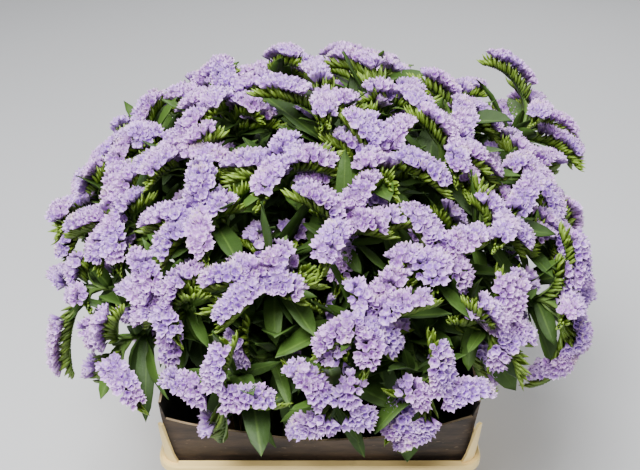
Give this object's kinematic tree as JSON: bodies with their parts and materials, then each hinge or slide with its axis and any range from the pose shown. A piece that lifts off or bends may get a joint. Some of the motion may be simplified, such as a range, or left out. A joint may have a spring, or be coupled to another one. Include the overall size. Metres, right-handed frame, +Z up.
{
  "type": "dried statice bunch in a bucket",
  "caption": "Dome-shaped bunch of lavender statice: combs of papery florets on winged green stems, in a cream bucket with a dark cardboard collar",
  "frame": {"origin": "middle of the bucket's flat underside", "axes": "+Z up out of the bucket; -Y is the side seen in front, with the low edge of the collar's front panel; +X is to the right seen from the front"},
  "size_m": [0.5767, 0.6002, 0.5216],
  "materials": {
    "bucket": "satin moulded plastic",
    "collar": "matt printed board",
    "greens": "matt stems, leaves and bracts",
    "florets": "matt papery florets"
  },
  "bodies": {
    "root": {"bucket": "bucket", "collar": "collar", "spray_a": "greens", "spray_b": "greens", "spray_c": "greens", "spray_d": "greens", "spray_e": "greens", "spray_f": "greens", "spray_g": "greens", "spray_h": "greens", "spray_i": "greens", "spray_j": "greens", "spray_k": "greens", "spray_l": "greens", "spray_m": "greens", "spray_n": "greens", "florets_a1": "florets", "florets_a2": "florets", "florets_a3": "florets", "florets_b1": "florets", "florets_b2": "florets", "florets_b3": "florets", "florets_c1": "florets", "florets_c2": "florets", "florets_c3": "florets", "florets_d1": "florets", "florets_d2": "florets", "florets_d3": "florets", "florets_e1": "florets", "florets_e2": "florets", "florets_e3": "florets", "florets_f1": "florets", "florets_f2": "florets", "florets_f3": "florets", "florets_g1": "florets", "florets_g2": "florets", "florets_g3": "florets", "florets_h1": "florets", "florets_h2": "florets", "florets_h3": "florets", "florets_i1": "florets", "florets_i2": "florets", "florets_i3": "florets", "florets_j1": "florets", "florets_j2": "florets", "florets_j3": "florets", "florets_k1": "florets", "florets_k2": "florets", "florets_k3": "florets", "florets_l1": "florets", "florets_l2": "florets", "florets_l3": "florets", "florets_m1": "florets", "florets_m2": "florets", "florets_m3": "florets", "florets_n1": "florets", "florets_n2": "florets", "florets_n3": "florets"}
  },
  "joints": []
}
